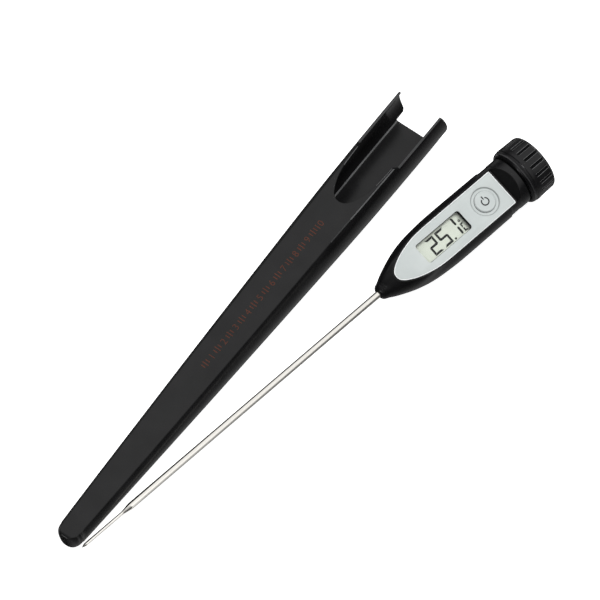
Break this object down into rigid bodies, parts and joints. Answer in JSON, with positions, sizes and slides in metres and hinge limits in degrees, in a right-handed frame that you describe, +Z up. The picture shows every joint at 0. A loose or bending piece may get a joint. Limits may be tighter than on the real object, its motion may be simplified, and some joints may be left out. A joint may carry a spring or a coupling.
{
  "type": "soil thermometer probe",
  "caption": "Digital stem thermometer with a long steel probe, ogive head, display, push button and ribbed screw cap, lying beside its tapered hollow sheath.",
  "frame": {"origin": "middle of the footprint of the thermometer and its sheath, on the surface they lie on", "axes": "+X along the sheath from its closed tip to its mouth, +Z up, +Y from the thermometer towards the sheath"},
  "size_m": [0.311, 0.095, 0.0324],
  "materials": {
    "body_plastic": "black moulded plastic, satin",
    "sheath_plastic": "black moulded plastic, fine satin texture",
    "stem_steel": "drawn stainless steel",
    "face_film": "silver-grey face plate, fine satin",
    "window_pane": "clear pane",
    "display": "pale green-grey liquid crystal display",
    "white_plastic": "moulded, matt",
    "black_rubber": "moulded rubber",
    "board_green": "solder mask",
    "nickel": "nickel plated",
    "ceramic": "ceramic chip",
    "copper": "enamelled copper wire",
    "epoxy_black": "black epoxy"
  },
  "bodies": {
    "thermometer": {"housing": "body_plastic", "probe_stem": "stem_steel", "stem_flange": "stem_steel", "nose_seal": "black_rubber", "thermistor_bead": "epoxy_black", "thermistor_lead_a": "copper", "thermistor_lead_b": "copper", "face_label": "face_film", "lcd_window": "window_pane", "lcd_glass": "display", "lcd_frame": "white_plastic", "zebra_strip_a": "black_rubber", "zebra_strip_b": "black_rubber", "circuit_board": "board_green", "chip_blob": "epoxy_black", "watch_crystal": "nickel", "chip_capacitor": "ceramic", "chip_resistor_a": "epoxy_black", "chip_resistor_b": "epoxy_black", "switch_body": "epoxy_black", "battery_tray": "white_plastic", "contact_negative": "nickel", "contact_positive": "nickel", "cap_seal_ring": "black_rubber"},
    "power_button": {"button_pad": "face_film", "button_pin": "body_plastic", "switch_plunger": "white_plastic"},
    "battery": {"cell_can": "nickel", "cell_gasket": "white_plastic", "cell_cover": "nickel", "cell_core": "epoxy_black"},
    "battery_cap": {"cap_shell": "body_plastic", "cap_pressure_pad": "black_rubber"},
    "sheath": {"sheath_shell": "sheath_plastic"}
  },
  "joints": [
    {"name": "power_button_press", "type": "slide", "parent": "thermometer", "child": "power_button", "axis": [0.0983, 0.2552, -0.9619], "range_m": [0, 0.0004], "stiffness_N_per_m": 1500},
    {"name": "battery_rise", "type": "slide", "parent": "thermometer", "child": "battery", "axis": [0.9817, -0.1835, 0.0516], "range_m": [0, 0.005]},
    {"name": "cap_unscrew", "type": "hinge", "parent": "battery", "child": "battery_cap", "pos_m": [0.15271, -0.03224, 0.01674], "axis": [0.9817, -0.1835, 0.0516], "range_deg": [0, 720]},
    {"name": "sheath_draw", "type": "slide", "parent": "thermometer", "child": "sheath", "axis": [-0.983, 0.1838, 0], "range_m": [0, 0.3]}
  ],
  "couplings": [
    {"joint": "battery_rise", "follows": "cap_unscrew", "m_per_rad": 0.00039789}
  ]
}
